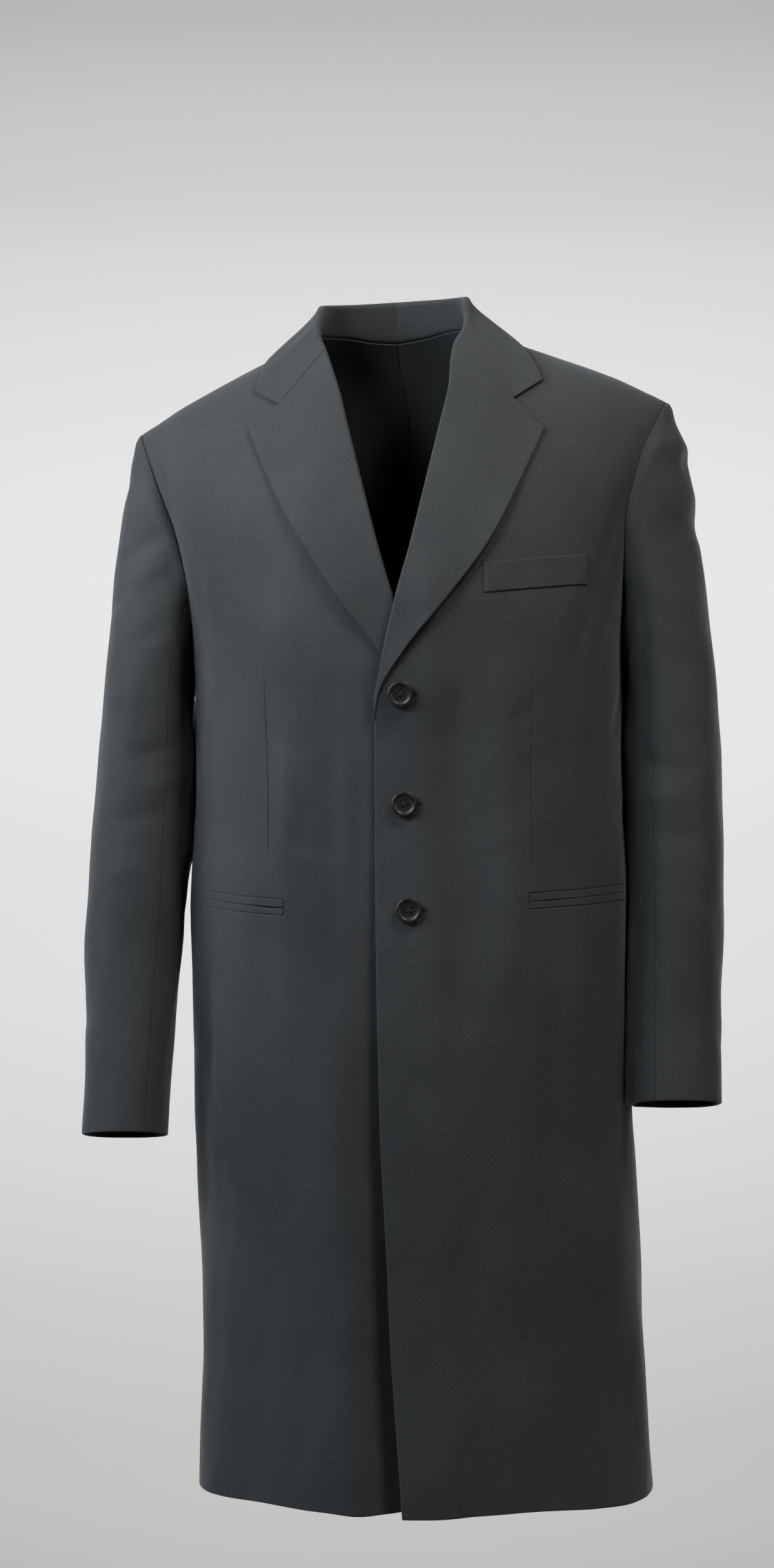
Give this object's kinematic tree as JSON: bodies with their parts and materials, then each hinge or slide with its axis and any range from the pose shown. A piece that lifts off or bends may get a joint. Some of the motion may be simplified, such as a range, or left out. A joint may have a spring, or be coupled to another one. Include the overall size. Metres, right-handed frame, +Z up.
{
  "type": "worn frock coat",
  "caption": "Knee-length single-breasted frock coat as worn, hollow inside, with notched lapels, a chest welt pocket and jetted hip pockets.",
  "frame": {"origin": "on the wearer's centre line at the base of the neck, between the shoulder seams, where the worn coat is held", "axes": "+Z up along the wearer's back, -Y towards the coat's front, +X to the wearer's left"},
  "size_m": [0.5909, 0.3162, 1.1101],
  "materials": {
    "wool_cloth": "matt, fine plain worsted",
    "button_horn": "satin"
  },
  "bodies": {
    "root": {"back_left": "wool_cloth", "back_right": "wool_cloth", "breast_pocket_welt": "wool_cloth", "button_bottom": "button_horn", "button_middle": "button_horn", "button_top": "button_horn", "collar": "wool_cloth", "front_left": "wool_cloth", "front_right": "wool_cloth", "hip_pocket_jet_lower_left": "wool_cloth", "hip_pocket_jet_lower_right": "wool_cloth", "hip_pocket_jet_upper_left": "wool_cloth", "hip_pocket_jet_upper_right": "wool_cloth", "lapel_left": "wool_cloth", "lapel_right": "wool_cloth", "top_sleeve_left": "wool_cloth", "top_sleeve_right": "wool_cloth", "under_sleeve_left": "wool_cloth", "under_sleeve_right": "wool_cloth"}
  },
  "joints": []
}
